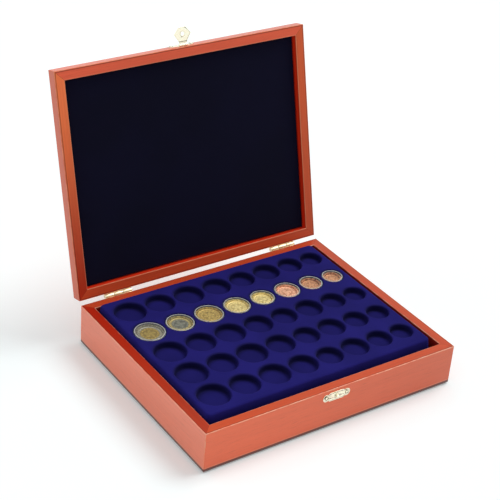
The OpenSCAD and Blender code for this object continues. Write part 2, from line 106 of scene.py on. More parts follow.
class Finish:  # one material and the nodes in it
    def __init__(self, name, tree=None):
        if tree is None:
            self.material = bpy.data.materials.new(name)
            self.material.use_nodes = True
            tree = self.material.node_tree
        self.tree = tree
        self.tree.nodes.clear()

    def add(self, kind, settings=None, sockets=None, out=0):
        node = self.tree.nodes.new(kind)
        for key, value in (settings or {}).items():
            setattr(node, key, value)
        for key, value in (sockets or {}).items():
            if isinstance(value, Wire):
                self.tree.links.new(value.socket, node.inputs[key])
            else:
                node.inputs[key].default_value = value
        return Wire(self, node.outputs[out]) if node.outputs else None

    def place(self):
        return self.add("ShaderNodeTexCoord", {}, {}, "Object")

    def painted(self, name):  # a value kept on the mesh's points
        return self.add("ShaderNodeAttribute", {"attribute_name": name}, {}, "Fac")

    def noise(self, place, scale, detail=2.0, rough=0.5):
        sockets = {"Vector": place, "Scale": scale, "Detail": detail, "Roughness": rough}
        return self.add("ShaderNodeTexNoise", {}, sockets)

    def stretched(self, place, scale, shift=(0, 0, 0)):
        return self.add("ShaderNodeMapping", {}, {"Vector": place, "Location": shift, "Scale": scale})

    def apart(self, place):
        node = self.add("ShaderNodeSeparateXYZ", {}, {"Vector": place}).socket.node
        return [Wire(self, node.outputs[k]) for k in "XYZ"]

    def ramp(self, value, low, high):
        sockets = {"Value": value, "From Min": low, "From Max": high}
        return self.add("ShaderNodeMapRange", {"interpolation_type": "SMOOTHSTEP"}, sockets)

    def tint(self, amount, first, second):  # the colour sockets of a Mix node are 6, 7 and output 2
        return self.add("ShaderNodeMix", {"data_type": "RGBA"}, {0: amount, 6: first, 7: second}, 2)

    def bump(self, height, distance, strength=1.0):
        return self.add("ShaderNodeBump", {}, {"Height": height, "Distance": distance, "Strength": strength})

    def close(self, sockets):
        shader = self.add("ShaderNodeBsdfPrincipled", {}, sockets)
        self.add("ShaderNodeOutputMaterial", {}, {"Surface": shader})
        return self.material


woodLook = {  # inside, wornAndSheen, edgeDark and the lacquers are given for base and lid; the lid's inside is lightened as painted light
    "rimDeep": (0.46, 0.016, 0.003), "rimSheen": (0.80, 0.135, 0.042),
    "inside": ((0.42, 0.018, 0.010, 1), (0.98, 0.036, 0.008, 1)),
    "insideFrom": (0.5 * mm, 0.1 * mm), "insideDrop": (0.8 * mm, 1.6 * mm),
    "wornAndSheen": ((0.88, 0.50, 0.34, 1), (0.84, 0.33, 0.18, 1)), "wornSheenShare": 0.7,
    "pore": (0.16, 0.010, 0.004, 1), "line": (0.06, 0.004, 0.003, 1),
    "figure": (4, 46, 46), "grain": (11, 420, 420), "pores": (70, 2300, 2300),
    "streakShares": (0.55, 0.45), "streakRange": (0.3, 0.7), "contrast": 0.12, "rimContrast": 0.24,
    "poreRange": (0.58, 0.74), "poreShare": 0.2, "poreDepth": 0.02 * mm,
    "gloss": 0.34, "grainGloss": 0.08, "poreGloss": 0.1, "lacquerGloss": 0.16,
    "rimLacquer": (0.06, 0.12), "faceLacquer": (0.72, 0.35), "faceLightFade": (1.07, 0.92),
    "specular": 0.25, "specularTint": (1.0, 0.62, 0.42, 1),
    "skin": (0.35 * mm, 0.75 * mm), "railEnd": 0.2 * mm,
    "arris": (0.25 * mm, 1.0 * mm), "rubScale": 110, "rubRange": (0.36, 0.62), "rubLeast": 0.25,
    "lidArris": (0.4 * mm, 1.0 * mm), "lidArrisSheen": 0.75,
    "mitre": (0.05 * mm, 0.22 * mm), "mitreDark": 0.7,
    "edgeLineAt": 1.3 * mm, "edgeLine": (0.1 * mm, 0.6 * mm), "edgeDrop": (0.5 * mm, 0.9 * mm),
    "edgeDark": (0.45, 0.7),
    "footLine": (4.5 * mm, 5.4 * mm), "footDepth": (2.6 * mm, 3.2 * mm), "footDark": 0.92,
    "footGlint": 6.8 * mm, "footGlintShare": 0.3,
}
caseHalf = (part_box("base_right_rail")[1].x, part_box("base_rear_rail")[1].y)
railThick = caseHalf[0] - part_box("base_right_rail")[0].x
baseFoot, baseRim = (corner.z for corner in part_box("base_front_rail"))
lidRim = min((asShut @ v.co).z for v in nodes["lid_front_rail"].data.vertices)


def shade(colour, amount):
    return tuple(c * amount for c in colour) + (1,)


def blendRimSheen(share):  # a share of painted sheen, one for all of red, green and blue, or one for each
    shares = share if isinstance(share, tuple) else (share, share, share)
    return tuple(a + (b - a) * k for a, b, k in zip(woodLook["rimDeep"], woodLook["rimSheen"], shares))


# bright, the share of painted sheen on the rims, is given for the hinge side and for the front side
def stainedWood(name, inLid, alongY, shift, bright, sideStainAndLight):
    look = woodLook
    f = Finish(name)
    place = f.place()
    if inLid:  # back to the shut lid, so the grain lies square to it
        place = f.add("ShaderNodeVectorRotate", {"rotation_type": "X_AXIS"},
                      {"Vector": place, "Center": hingeAxis, "Angle": -lidSwing})
    x, y, z = f.apart(place)
    fromEnd, fromFace = caseHalf[0] - x.size(), caseHalf[1] - y.size()
    inward = fromEnd.least(fromFace)
    drop = (z - (lidRim if inLid else baseRim)).size()
    skin = 1 - f.ramp(inward, *look["skin"])
    onRail = 1 - f.ramp(inward, railThick, railThick + look["railEnd"])
    outerArris = inward.most(drop).least(fromEnd.most(fromFace))
    innerArris = (railThick - inward).size().most(drop)
    rubbed = f.ramp(f.noise(place, look["rubScale"], detail=3.0), *look["rubRange"])
    # lighter arrises: rubbed wear and a painted highlight
    wearAndSheen = 1 - f.ramp(outerArris.least(innerArris), *look["arris"])
    wearAndSheen = wearAndSheen * (look["rubLeast"] + (1 - look["rubLeast"]) * rubbed)
    mitre = (1 - f.ramp((fromEnd - fromFace).size(), *look["mitre"])) * (1 - skin) * onRail
    edgeLine = 1 - f.ramp((inward - look["edgeLineAt"]).size(), *look["edgeLine"])
    edgeLine = edgeLine * (1 - f.ramp(drop, *look["edgeDrop"]))
    lines = (mitre * look["mitreDark"]).most(edgeLine * look["edgeDark"][inLid])
    if inLid:  # painted highlight where the lacquer catches the light along the arris beside the lining
        wearAndSheen = wearAndSheen.most((1 - f.ramp(innerArris, *look["lidArris"])) * look["lidArrisSheen"])
    else:  # painted shade line along the foot and a painted highlight line above it
        high = z - baseFoot
        nearFace = 1 - f.ramp(inward, *look["footDepth"])
        lines = lines.most((1 - f.ramp(high, *look["footLine"])) * nearFace * look["footDark"])
        glint = 1 - f.ramp(high, look["footLine"][1], look["footGlint"])
        wearAndSheen = wearAndSheen.most(glint * nearFace * look["footGlintShare"])
    if alongY:
        place = f.add("ShaderNodeVectorRotate", {"rotation_type": "Z_AXIS"},
                      {"Vector": place, "Angle": math.pi / 2})
    figure = f.noise(f.stretched(place, look["figure"], shift), 1.0, detail=3.0)
    grain = f.noise(f.stretched(place, look["grain"], shift), 1.0, detail=4.0, rough=0.6)
    pores = f.ramp(f.noise(f.stretched(place, look["pores"], shift), 1.0), *look["poreRange"])
    figureShare, grainShare = look["streakShares"]
    streak = f.ramp(figure * figureShare + grain * grainShare, *look["streakRange"])
    hingeRimSheen, frontRimSheen = (shade(blendRimSheen(b), 1) for b in bright)
    # painted reflection: each rim goes from its hinge side tone to its front side tone
    rim = f.tint(f.ramp(y, -caseHalf[1], caseHalf[1]), frontRimSheen, hingeRimSheen)
    # inner faces of the rails; on the lid this colour is lightened as painted light
    innerFace = f.ramp(inward, *(railThick - k for k in look["insideFrom"]))
    innerFace = innerFace * f.ramp(drop, *look["insideDrop"]) * onRail
    rim = f.tint(innerFace, rim, look["inside"][inLid])
    rim = f.tint(streak * look["rimContrast"], rim, look["pore"])
    # outer faces: the stain, lightened by painted sheen on some rails and darkened by painted shade on others
    side = shade(sideStainAndLight, 1)
    if not alongY:  # painted light: the long faces grow darker from left to right
        side = f.tint(f.ramp(x, -caseHalf[0], caseHalf[0]), *(shade(sideStainAndLight, k) for k in look["faceLightFade"]))
    side = f.tint(streak * look["contrast"], side, look["pore"])
    colour = f.tint(pores * look["poreShare"], f.tint(skin, rim, side), look["pore"])
    colour = f.tint(wearAndSheen * look["wornSheenShare"], colour, look["wornAndSheen"][inLid])
    colour = f.tint(lines, colour, look["line"])
    rimCoat, faceCoat = look["rimLacquer"][inLid], look["faceLacquer"][inLid]
    return f.close({
        "Base Color": colour, "Normal": f.bump(1 - pores, look["poreDepth"]),
        "Roughness": look["gloss"] + grain * look["grainGloss"] + pores * look["poreGloss"],
        "Specular IOR Level": look["specular"], "Specular Tint": look["specularTint"],
        "Coat Weight": rimCoat + skin * (faceCoat - rimCoat), "Coat Roughness": look["lacquerGloss"]})


pileLook = {  # what the velours and the card share
    "napRange": (0.3, 0.7), "napShare": 0.6, "pileShare": 0.4, "bumpStrength": 0.7, "rough": 0.85,
    "pileRough": 0.15, "specular": 0.12, "sheenRough": 0.4, "wornSheenLeast": 0.3, "wornSheenPile": 0.6,
    "sunkShadeShare": 0.92,
}
trayLook = {
    "dark": (0.0092, 0.0072, 0.110, 1), "light": (0.0150, 0.0116, 0.164, 1), "wornAndSheen": (0.030, 0.026, 0.23, 1),
    "shade": (0.0036, 0.0033, 0.034, 1), "napAndFacingShade": 26, "pile": 2400, "pileDepth": 0.12 * mm,
    "sheen": 0.07, "sheenTint": (0.12, 0.10, 0.80, 1),
    "lipShade": 0.7, "lipReach": 3.4 * mm, "lipInside": (-1.6 * mm, -0.9 * mm), "lipFacing": 0.4,
}
liningLook = {
    "dark": (0.0012, 0.0011, 0.0085, 1), "light": (0.0022, 0.0020, 0.0135, 1), "napAndFacingShade": 14, "pile": 2200,
    "pileDepth": 0.14 * mm, "sheen": 0.05, "sheenTint": (0.12, 0.12, 0.7, 1),
}
cardLook = {
    "dark": (0.010, 0.010, 0.022, 1), "light": (0.018, 0.018, 0.035, 1), "napAndFacingShade": 60, "pile": 900,
    "pileDepth": 0.03 * mm, "sheen": 0.0, "sheenTint": (1, 1, 1, 1),
}


def lipShade(f, place, look, columns, middle, pitch, rows):  # painted shade over the far lip of each recess
    x, y = f.apart(place)[:2]
    y = y - middle
    lastRow = (rows - 1) / 2
    y = y - pitch * (y * (1 / pitch)).whole().least(lastRow).most(-lastRow)  # from its own row's middle
    edge = 1.0
    for centre, r in columns:
        edge = ((((x - centre) ** 2.0) + y * y) ** 0.5 - r).least(edge)
    faces = f.ramp(y, -look["lipFacing"] * pitch, look["lipFacing"] * pitch)
    return (1 - f.ramp(edge, 0.0, look["lipReach"])) * f.ramp(edge, *look["lipInside"]) * faces


def velour(name, look, plan=None):
    s = pileLook
    f = Finish(name)
    place = f.place()
    nap = f.ramp(f.noise(place, look["napAndFacingShade"]), *s["napRange"])
    pile = f.noise(place, look["pile"])
    colour = f.tint(nap * s["napShare"] + pile * s["pileShare"], look["dark"], look["light"])
    if plan:
        # painted shade over the far lips
        colour = f.tint(lipShade(f, place, look, *plan) * look["lipShade"], colour, look["shade"])
        # lighter lips: wear and a painted highlight
        rubbed = f.painted("wornAndSheen") * (s["wornSheenLeast"] + pile * s["wornSheenPile"])
        colour = f.tint(rubbed, colour, look["wornAndSheen"])
        # painted shade kept on the points of each recess
        colour = f.tint(f.painted("sunk") * s["sunkShadeShare"], colour, look["shade"])
    return f.close({
        "Base Color": colour, "Roughness": s["rough"] + pile * s["pileRough"],
        "Normal": f.bump(pile, look["pileDepth"], s["bumpStrength"]), "Specular IOR Level": s["specular"],
        "Sheen Weight": look["sheen"], "Sheen Roughness": s["sheenRough"], "Sheen Tint": look["sheenTint"]})


metalLook = {  # bright colour, dull colour and roughness
    "brass": ((1.0, 0.95, 0.75, 1), (0.90, 0.78, 0.47, 1), 0.16),
    "hingeBrass": ((0.86, 0.75, 0.50, 1), (0.66, 0.52, 0.28, 1), 0.26),
    "brassShade": ((0.12, 0.085, 0.035, 1), (0.06, 0.045, 0.02, 1), 0.45),
    "pinSteel": ((0.66, 0.62, 0.52, 1), (0.38, 0.33, 0.24, 1), 0.26),
}
coinLook = {
    "oldGold": ((0.49, 0.345, 0.068, 1), (0.21, 0.14, 0.020, 1), 0.34),
    "mutedGold": ((0.58, 0.47, 0.17, 1), (0.28, 0.21, 0.06, 1), 0.34),
    "gold": ((0.68, 0.485, 0.12, 1), (0.32, 0.205, 0.035, 1), 0.34),
    "paleGold": ((0.96, 0.80, 0.33, 1), (0.60, 0.44, 0.12, 1), 0.34),
    "silver": ((0.40, 0.375, 0.28, 1), (0.22, 0.205, 0.14, 1), 0.34),
    "oldSilver": ((0.28, 0.285, 0.215, 1), (0.085, 0.087, 0.060, 1), 0.34),
    "copper": ((1.0, 0.56, 0.34, 1), (0.48, 0.16, 0.06, 1), 0.34),
    "brownCopper": ((0.66, 0.31, 0.13, 1), (0.28, 0.09, 0.026, 1), 0.34),
}
metalSurface = {
    "cloud": 160, "cloudRange": (0.35, 0.75), "cloudDull": 0.1, "cloudRough": 0.10, "lowDull": 0.6,
    "scratch": (260, 5200, 2600), "scratchRough": 0.08, "scratchDepth": 0.006 * mm, "scratchStrength": 0.5,
    "metallic": 0.95, "coinMetallic": 0.45,
}


def castMetal(name, bright, dull, rough, struck=False):
    s = metalSurface
    f = Finish(name)
    place = f.place()
    cloud = f.ramp(f.noise(place, s["cloud"], detail=3.0), *s["cloudRange"])
    scratch = f.noise(f.stretched(place, s["scratch"]), 1.0)
    dulling = cloud * s["cloudDull"]
    if struck:
        dulling = dulling + (1 - f.painted("relief")) * s["lowDull"]
    return f.close({
        "Base Color": f.tint(dulling, bright, dull), "Metallic": s["coinMetallic" if struck else "metallic"],
        "Roughness": rough + cloud * s["cloudRough"] + scratch * s["scratchRough"],
        "Normal": f.bump(scratch, s["scratchDepth"], s["scratchStrength"])})


clearLook = {
    "colour": (0.90, 0.93, 0.95, 1), "haze": 700, "rough": 0.05, "hazeRough": 0.05, "specular": 0.2,
    "alpha": 0.01, "edgeAlpha": 0.12, "hazeAlpha": 0.01, "edgeBlend": 0.3,
}
ringLook = {
    "glint": 420, "glintRange": (0.3, 0.7), "rough": 0.12, "glintRough": 0.1, "metallic": 0.3,
    "specular": 0.4, "alpha": 0.90, "glintAlpha": 0.08,
}
edgeLook = {
    "glint": 300, "glintRange": (0.3, 0.7), "glintWhite": 0.2, "rough": 0.15, "glintRough": 0.1,
    "specular": 0.4, "alpha": 0.85, "glintAlpha": 0.15,
}
edgeColours = {  # painted highlight and painted sheen of the capsule edges: colour, and how solid it looks
    "capsuleHighlight": ((0.80, 0.74, 0.68, 1), 0.8), "capsuleSkirtSheen": ((0.26, 0.31, 0.34, 1), 0.6),
}


def clearPlastic(name):
    s = clearLook
    f = Finish(name)
    edge = f.add("ShaderNodeLayerWeight", {}, {"Blend": s["edgeBlend"]}, "Facing")
    haze = f.noise(f.place(), s["haze"])
    return f.close({
        "Base Color": s["colour"], "Roughness": s["rough"] + haze * s["hazeRough"],
        "Alpha": s["alpha"] + edge * edge * s["edgeAlpha"] + haze * s["hazeAlpha"],
        "Specular IOR Level": s["specular"]})


def ringPlastic(name, bright, dull):  # the clear ring round a coin carries the coin's colour, with painted glints
    s = ringLook
    f = Finish(name)
    glint = f.ramp(f.noise(f.place(), s["glint"]), *s["glintRange"])
    return f.close({
        "Base Color": f.tint(glint, dull, bright), "Roughness": s["rough"] + glint * s["glintRough"],
        "Metallic": s["metallic"], "Alpha": s["alpha"] + glint * s["glintAlpha"],
        "Specular IOR Level": s["specular"]})


def edgePlastic(name, colour, solid):  # painted light where it gathers in the edge of a clear disc, with painted glints
    s = edgeLook
    f = Finish(name)
    glint = f.ramp(f.noise(f.place(), s["glint"]), *s["glintRange"])
    return f.close({
        "Base Color": f.tint(glint * s["glintWhite"], colour, (1, 1, 1, 1)),
        "Roughness": s["rough"] + glint * s["glintRough"],
        "Alpha": solid * (s["alpha"] + glint * s["glintAlpha"]), "Specular IOR Level": s["specular"]})


finishes = {
    "capsule": clearPlastic("clearCapsule"),
    "lining": velour("velourLining", liningLook),
    "card": velour("trayCard", cardLook),
}
for name, (colour, solid) in edgeColours.items():
    finishes[name] = edgePlastic(name, colour, solid)
for name, (bright, dull, rough) in metalLook.items():
    finishes[name] = castMetal(name, bright, dull, rough)
for name, (bright, dull, rough) in coinLook.items():
    finishes[name] = castMetal(name, bright, dull, rough, True)
    finishes[name + "Ring"] = ringPlastic(name + "Ring", bright, dull)
print("finishes made:", len(finishes))


def smooth(low, high, value):
    t = min(1.0, max(0.0, (value - low) / (high - low)))
    return t * t * (3 - 2 * t)


def boxOf(points):
    points = list(points)
    return [Vector([pick(p[k] for p in points) for k in range(3)]) for pick in (min, max)]


def arc(x, z, r, start, end, count):
    turns = [math.radians(start + (end - start) * k / count) for k in range(count + 1)]
    return [(x + r * math.cos(t), z + r * math.sin(t)) for t in turns]


def spinChain(bm, points, at, steps, sweep=360):  # points in millimetres, out from the axis and up
    verts = [bm.verts.new((at[0] + x * mm, at[1], at[2] + z * mm)) for x, z in points]
    chain = verts + [bm.edges.new(pair) for pair in zip(verts, verts[1:])]
    bmesh.ops.spin(bm, geom=chain, cent=at, axis=(0, 0, 1), angle=math.radians(sweep), steps=steps,
                   use_merge=sweep == 360)


def cutAcross(bm, point, normal):
    bmesh.ops.bisect_plane(bm, geom=bm.verts[:] + bm.edges[:] + bm.faces[:], plane_co=point, plane_no=normal,
                           dist=cutSnap)


def meshFrom(bm, name):
    mesh = bpy.data.meshes.new(name)
    bm.to_mesh(mesh)
    bm.free()
    return mesh


def inScene(name, data):
    thing = bpy.data.objects.new(name, data)
    bpy.context.scene.collection.objects.link(thing)
    return thing


def makePiece(name, bm, body, looks, stoodFor, move=None, smoothTo=32):
    bmesh.ops.remove_doubles(bm, verts=bm.verts, dist=weld)
    bmesh.ops.recalc_face_normals(bm, faces=bm.faces)
    if bm.calc_volume(signed=True) < 0:  # the line above can settle inside out
        bmesh.ops.reverse_faces(bm, faces=bm.faces)
    if move is not None:
        bmesh.ops.transform(bm, matrix=move, verts=bm.verts)
    mesh = meshFrom(bm, name)
    for look in looks:
        mesh.materials.append(finishes[look])
    mesh.shade_smooth()
    mesh.set_sharp_from_angle(angle=math.radians(smoothTo))
    piece = inScene(name, mesh)
    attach(piece, body)
    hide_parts(*stoodFor)
    return piece


def finishSolid(node, material):  # a solid that shows as it is
    nodes[node].data.materials.clear()
    nodes[node].data.materials.append(material)


# Wooden rails and panels keep their solids
railGrain = {  # runs along y or not, shift of the grain, painted sheen on base and lid rims, and their outer stains with painted sheen and shade
    "front_rail": (False, (0.0, 0.0, 0.0), (0.58, 0.58), ((1.33, 1.0, 1.6), (1.33, 1.0, 1.6)),
                   (0.89, 0.142, 0.050), (0.82, 0.130, 0.046)),
    "rear_rail": (False, (3.1, 7.0, 2.0), (0.45, 0.45), (0.5, 0.5),
                  (0.78, 0.125, 0.044), (0.78, 0.125, 0.044)),
    "left_rail": (True, (5.7, 2.0, 9.0), (0.0, 0.22), (0.12, 1.8),
                  (0.99, 0.232, 0.122), (0.72, 0.122, 0.053)),
    "right_rail": (True, (8.3, 4.0, 6.0), (0.55, 0.55), (0.6, 0.9),
                   (0.80, 0.130, 0.046), (0.80, 0.130, 0.046)),
}
lidGrainShift = 17
panelGrain = {"shift": (31.0, 3.0, 1.0), "bright": (0.7, 0.7), "stain": (0.78, 0.125, 0.044)}
for rail, (alongY, shift, *looks) in railGrain.items():
    for k, part in enumerate(("base", "lid")):
        moved = tuple(s + lidGrainShift * k for s in shift)
        wood = stainedWood(f"{part}_{rail}_wood", part == "lid", alongY, moved, looks[k], looks[2 + k])
        finishSolid(f"{part}_{rail}", wood)
for node, inLid in (("base_bottom_panel", False), ("lid_top_panel", True)):
    finishSolid(node, stainedWood(node + "_wood", inLid, False, *panelGrain.values()))
print("wood finished")


trayShape = {
    "coinWidths": (25.75, 23.25, 24.25, 22.25, 19.75, 21.25, 18.75, 16.25), "capsuleRim": 3.7, "clear": 0.3,
    "rows": 5, "depth": 6.4, "lip": 1.7, "floorFillet": 1.4, "draw": 2.2, "edge": 2.34, "crease": 2.4,
    "corner": 7.0, "footRound": 0.5, "support": 0.08, "cardInset": 5, "cardSink": 0.4,
    "steps": 56, "lipSteps": 7, "filletSteps": 4, "footSteps": 3, "creaseSteps": 7, "cornerSteps": 9,
    "sideRows": (0.25, 0.5, 0.75),
    "facingShadeTo": (0.18, 0.98), "facingShadeRange": (0.28, 0.95), "facingShadeShare": 0.85, "wallFrom": 0.05,
    "wallTo": 0.5, "wallShade": 0.55, "floorDark": 0.28, "floorShade": 0.66,
    "lipWornSheen": 0.12, "lipWornSheenAt": 0.2, "lipWornSheenOver": 0.3,
}


def trayLean(high):
    return math.atan(trayShape["draw"] / high)


def recessPlan(wide, deep, high):
    s = trayShape
    radii = [w / 2 + s["capsuleRim"] + s["clear"] for w in s["coinWidths"]]
    rounded = s["edge"] / math.tan(math.pi / 4 + trayLean(high) / 2)
    flatWide = wide - 2 * (s["draw"] + rounded)
    flatDeep = deep - 2 * (s["draw"] + rounded)
    gap = (flatWide - 2 * sum(radii)) / (len(radii) + 1)
    pitch = 2 * max(radii) + (flatDeep - s["rows"] * 2 * max(radii)) / (s["rows"] + 1)
    xs = [-flatWide / 2 + (i + 1) * gap + 2 * sum(radii[:i]) + r for i, r in enumerate(radii)]
    ys = [((s["rows"] + 1) / 2 - j) * pitch for j in range(1, s["rows"] + 1)]
    return list(zip(xs, radii)), ys, pitch


def spinRecess(r):
    s = trayShape
    lip, fillet = s["lip"], s["floorFillet"]
    cut = [(r + lip + s["support"], 0)] + arc(r + lip, -lip, lip, 90, 180, s["lipSteps"])
    cut += arc(r - fillet, fillet - s["depth"], fillet, 0, -90, s["filletSteps"])
    cut += [(away, -s["depth"]) for away in (r - fillet - s["support"], r * s["floorShade"], 0)]
    bm = bmesh.new()
    spinChain(bm, cut, (0, 0, 0), s["steps"])
    return meshFrom(bm, "recess")


def traySkirt(bm, wide, deep, high):
    s = trayShape
    lean = trayLean(high)
    c = s["crease"]
    shoulder = s["corner"] - s["draw"] - c / math.tan(math.pi / 4 + lean / 2)
    side = arc(s["corner"] - s["footRound"], s["footRound"], s["footRound"], -90, 0, s["footSteps"])
    side += [(s["corner"] - s["draw"] * k, high * k) for k in s["sideRows"]]
    side += arc(shoulder, high - c, c, math.degrees(lean), 90, s["creaseSteps"])
    side += [(shoulder - s["support"], high)]
    corner = ((wide / 2 - s["corner"]) * mm, (deep / 2 - s["corner"]) * mm)
    spinChain(bm, side, (*corner, 0), s["cornerSteps"], 90)
    for axis in ("X", "Y"):
        bmesh.ops.mirror(bm, geom=bm.verts[:] + bm.edges[:] + bm.faces[:], matrix=Matrix.Identity(4),
                         merge_dist=weld, axis=axis)
    for axis in (0, 1):  # join the corners along the four straight sides
        across = 1 - axis
        for end in (-1, 1):
            ends = [e for e in bm.edges if e.is_boundary and all(
                abs(abs(v.co[across]) - corner[across]) < near and v.co[axis] * end > corner[axis]
                for v in e.verts)]
            bmesh.ops.bridge_loops(bm, edges=ends)
    under = [e for e in bm.edges if e.is_boundary and all(abs(v.co.z) < near for v in e.verts)]
    card = bmesh.ops.edgeloop_fill(bm, edges=under)["faces"]
    bmesh.ops.inset_region(bm, faces=card, thickness=s["cardInset"] * mm, depth=0)
    bmesh.ops.inset_region(bm, faces=card, thickness=s["cardSink"] * mm, depth=-s["cardSink"] * mm)
    for face in card:
        face.material_index = 1


def shadeRecess(bm, verts, r):  # painted shade in each recess: darker deeper down and on the floor, most where the walls face the front
    s = trayShape
    wornAndSheen, sunk = (bm.verts.layers.float[k] for k in ("wornAndSheen", "sunk"))
    toSide, toBack = s["facingShadeTo"]
    for v in verts:
        drop = -v.co.z / mm
        away = max(v.co.xy.length, 1e-6)
        napAndFacingShade = smooth(*s["facingShadeRange"], 0.5 + 0.5 * (toSide * v.co.x + toBack * v.co.y) / away)
        v[wornAndSheen] = s["lipWornSheen"] * max(0.0, 1 - abs(drop / s["lip"] - s["lipWornSheenAt"]) / s["lipWornSheenOver"])
        v[sunk] = s["floorDark"]
        if drop < s["depth"] - hair:
            deep = smooth(s["wallFrom"], s["wallTo"] * s["depth"], drop)
            v[sunk] = deep * (1 - s["facingShadeShare"] * (1 - napAndFacingShade))
        elif away > (r * s["floorShade"] + hair) * mm:
            v[sunk] += s["wallShade"] * napAndFacingShade


def shapeTray(wide, deep, high):
    bm = bmesh.new()
    for name in ("wornAndSheen", "sunk"):
        bm.verts.layers.float.new(name)
    traySkirt(bm, wide, deep, high)
    columns, ys = recessPlan(wide, deep, high)[:2]
    for x, r in columns:
        recess = spinRecess(r)
        for y in ys:
            before = len(bm.verts)
            bm.from_mesh(recess)
            bm.verts.ensure_lookup_table()
            shadeRecess(bm, bm.verts[before:], r)
            bmesh.ops.translate(bm, verts=bm.verts[before:], vec=(x * mm, y * mm, high * mm))
        bpy.data.meshes.remove(recess)
    top = [e for e in bm.edges if e.is_boundary and all(abs(v.co.z - high * mm) < near for v in e.verts)]
    bmesh.ops.triangle_fill(bm, edges=top, use_beauty=True, normal=(0, 0, 1))
    return meshFrom(bm, "trayShape")


trayLo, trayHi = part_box("top_tray")
traySize = (trayHi - trayLo) / mm
trayMid = (trayHi + trayLo) / 2
columns, _, pitch = recessPlan(*traySize)
recessColumns = [(trayMid.x + x * mm, r * mm) for x, r in columns]
finishes["tray"] = velour("flockedTray", trayLook, (recessColumns, trayMid.y, pitch * mm, trayShape["rows"]))
trayMesh = shapeTray(*traySize)
for node in ("bottom_tray", "middle_tray", "top_tray"):
    bm = bmesh.new()
    bm.from_mesh(trayMesh)
    lo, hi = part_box(node)
    bmesh.ops.translate(bm, verts=bm.verts, vec=((lo.x + hi.x) / 2, (lo.y + hi.y) / 2, lo.z))
    makePiece(node + "_velour", bm, node, ["tray", "card"], [node])
bpy.data.meshes.remove(trayMesh)
print("trays made")


liningShape = {
    "grid": (60, 48), "round": 1.5, "roundSteps": 4, "inset": 0.2, "glue": 0.4, "crown": 0.8, "crownPower": 6,
    "pull": 0.5, "pullPower": 30, "back": 0.1, "bent": 60, "smoothTo": 60,
}


def buildLining():
    s = liningShape
    lo, hi = boxOf(asShut @ v.co for v in nodes["lid_lining"].data.vertices)  # on the shut lid
    half = Vector((hi.x - lo.x, hi.y - lo.y, 0)) / 2 - Vector((1, 1, 0)) * s["inset"] * mm
    mid = (lo + hi) / 2
    spread = Matrix.Translation((mid.x, mid.y, hi.z)) @ Matrix.Diagonal((half.x, half.y, 1, 1))
    bm = bmesh.new()
    bmesh.ops.create_grid(bm, x_segments=s["grid"][0], y_segments=s["grid"][1], size=1, matrix=spread)
    rise = bmesh.ops.extrude_face_region(bm, geom=bm.faces[:], use_keep_orig=True)["geom"]
    face = [g for g in rise if isinstance(g, bmesh.types.BMVert)]
    thick = hi.z - lo.z - s["glue"] * mm
    bmesh.ops.translate(bm, verts=face, vec=(0, 0, -thick))
    bmesh.ops.recalc_face_normals(bm, faces=bm.faces)
    bent = [e for e in bm.edges if e.is_manifold and math.degrees(e.calc_face_angle()) > s["bent"]]
    rim = [e for e in bent if all(v.co.z < hi.z - thick / 2 for v in e.verts)]
    bmesh.ops.bevel(bm, geom=rim, offset=s["round"] * mm, segments=s["roundSteps"], profile=0.5,
                    affect="EDGES", material=-1)
    crown, pull = s["crown"] * mm, s["pull"] * mm
    for v in bm.verts:  # the velour is fuller in the middle, and its sides draw in between the corners
        u, w = (v.co.x - mid.x) / half.x, (v.co.y - mid.y) / half.y
        if v.co.z < hi.z - s["back"] * mm:
            v.co.z -= crown * max(0.0, 1 - u ** s["crownPower"]) * max(0.0, 1 - w ** s["crownPower"])
            v.co.x -= math.copysign(pull, u) * max(0.0, 1 - w * w) * abs(u) ** s["pullPower"]
            v.co.y -= math.copysign(pull, w) * max(0.0, 1 - u * u) * abs(w) ** s["pullPower"]
    piece = makePiece("lid_lining_velour", bm, "lid", ["lining"], ["lid_lining"], asOpen,
                      s["smoothTo"])


buildLining()
print("lining made")


strikeShape = {  # lengths are shares of the field's radius
    "petal": (0.18, 0.40), "petalRound": 0.8, "petalSoft": 0.03, "petalLow": 0.35, "petalTwist": 4,
    "heart": (0.15, 0.11), "leafAt": 0.76, "leafHalf": (0.115, 0.085), "leafSway": 9, "leafEdge": (0.25, 0.6),
    "leafHigh": 0.9, "beadAt": 0.94, "beadHalf": (0.04, 0.015), "beadEdge": (0.35, 0.7),
}


def strike(share, turn, petals, leaves):  # height of a rosette in a leaf wreath inside a ring of beads
    s = strikeShape
    petal = s["petal"][0] + s["petal"][1] * abs(math.cos(petals * turn / 2)) ** s["petalRound"]
    vein = abs(math.sin(petals * turn / 2 + share * s["petalTwist"]))
    flower = smooth(petal + s["petalSoft"], petal - s["petalSoft"], share)
    flower *= s["petalLow"] + (1 - s["petalLow"]) * vein
    heart = smooth(*s["heart"], share)
    fromLeaf = abs(share - s["leafAt"])
    sway = leaves * turn / 2 + s["leafSway"] * fromLeaf
    leaf = smooth(*s["leafHalf"], fromLeaf) * smooth(*s["leafEdge"], abs(math.sin(sway)))
    beads = smooth(*s["beadHalf"], abs(share - s["beadAt"]))
    beads *= smooth(*s["beadEdge"], abs(math.sin(leaves * turn)))
    return max(flower, heart, leaf * s["leafHigh"], beads)


